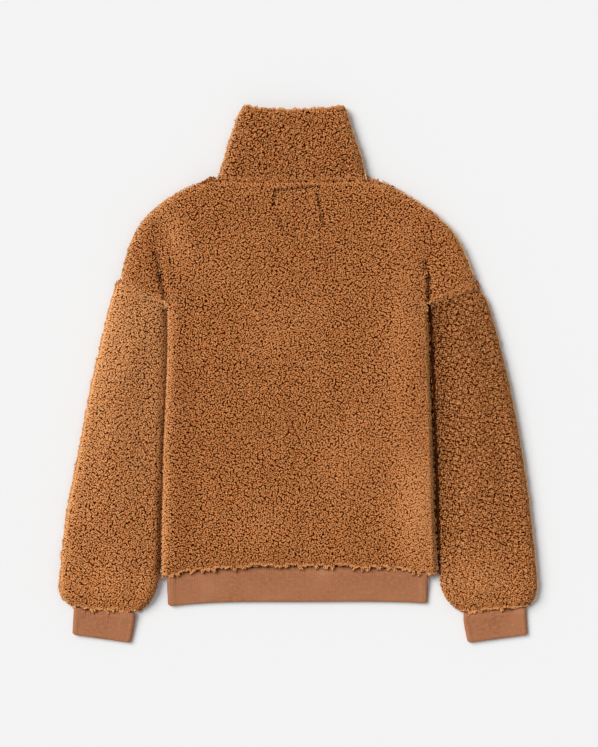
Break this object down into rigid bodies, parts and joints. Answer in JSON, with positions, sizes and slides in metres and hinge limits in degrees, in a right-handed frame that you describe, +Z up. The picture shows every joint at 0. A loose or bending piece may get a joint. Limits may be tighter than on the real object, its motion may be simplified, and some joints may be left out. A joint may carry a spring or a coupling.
{
  "type": "zip sherpa fleece, laid flat on its front",
  "caption": "Pile fleece pullover with funnel collar, ribbed hem and cuffs and a half-length front zip, laid flat with its back up.",
  "frame": {"origin": "middle of the outline, on the surface that the fleece lies on", "axes": "+X across to the sleeve at the right with the back up, +Y up the garment to the collar, +Z up from the surface"},
  "size_m": [0.693, 0.7794, 0.0261],
  "materials": {
    "sherpa": "curly caramel pile, matt",
    "rib": "fine tan rib knit, matt",
    "tape": "woven zip tape, matt",
    "metal": "brushed, aged brass"
  },
  "bodies": {
    "garment": {"back": "sherpa", "front": "sherpa", "collar": "sherpa", "sleeve_left": "sherpa", "sleeve_right": "sherpa", "waistband": "rib", "cuff_left": "rib", "cuff_right": "rib", "zip_tape_left": "tape", "zip_tape_right": "tape", "zip_slider": "metal"},
    "pull": {"zip_pull": "metal"}
  },
  "joints": [
    {"name": "pull_swing", "type": "hinge", "parent": "garment", "child": "pull", "pos_m": [-0.007, 0.3715, 0.00335], "axis": [1, 0, 0], "range_deg": [0, 170]}
  ]
}
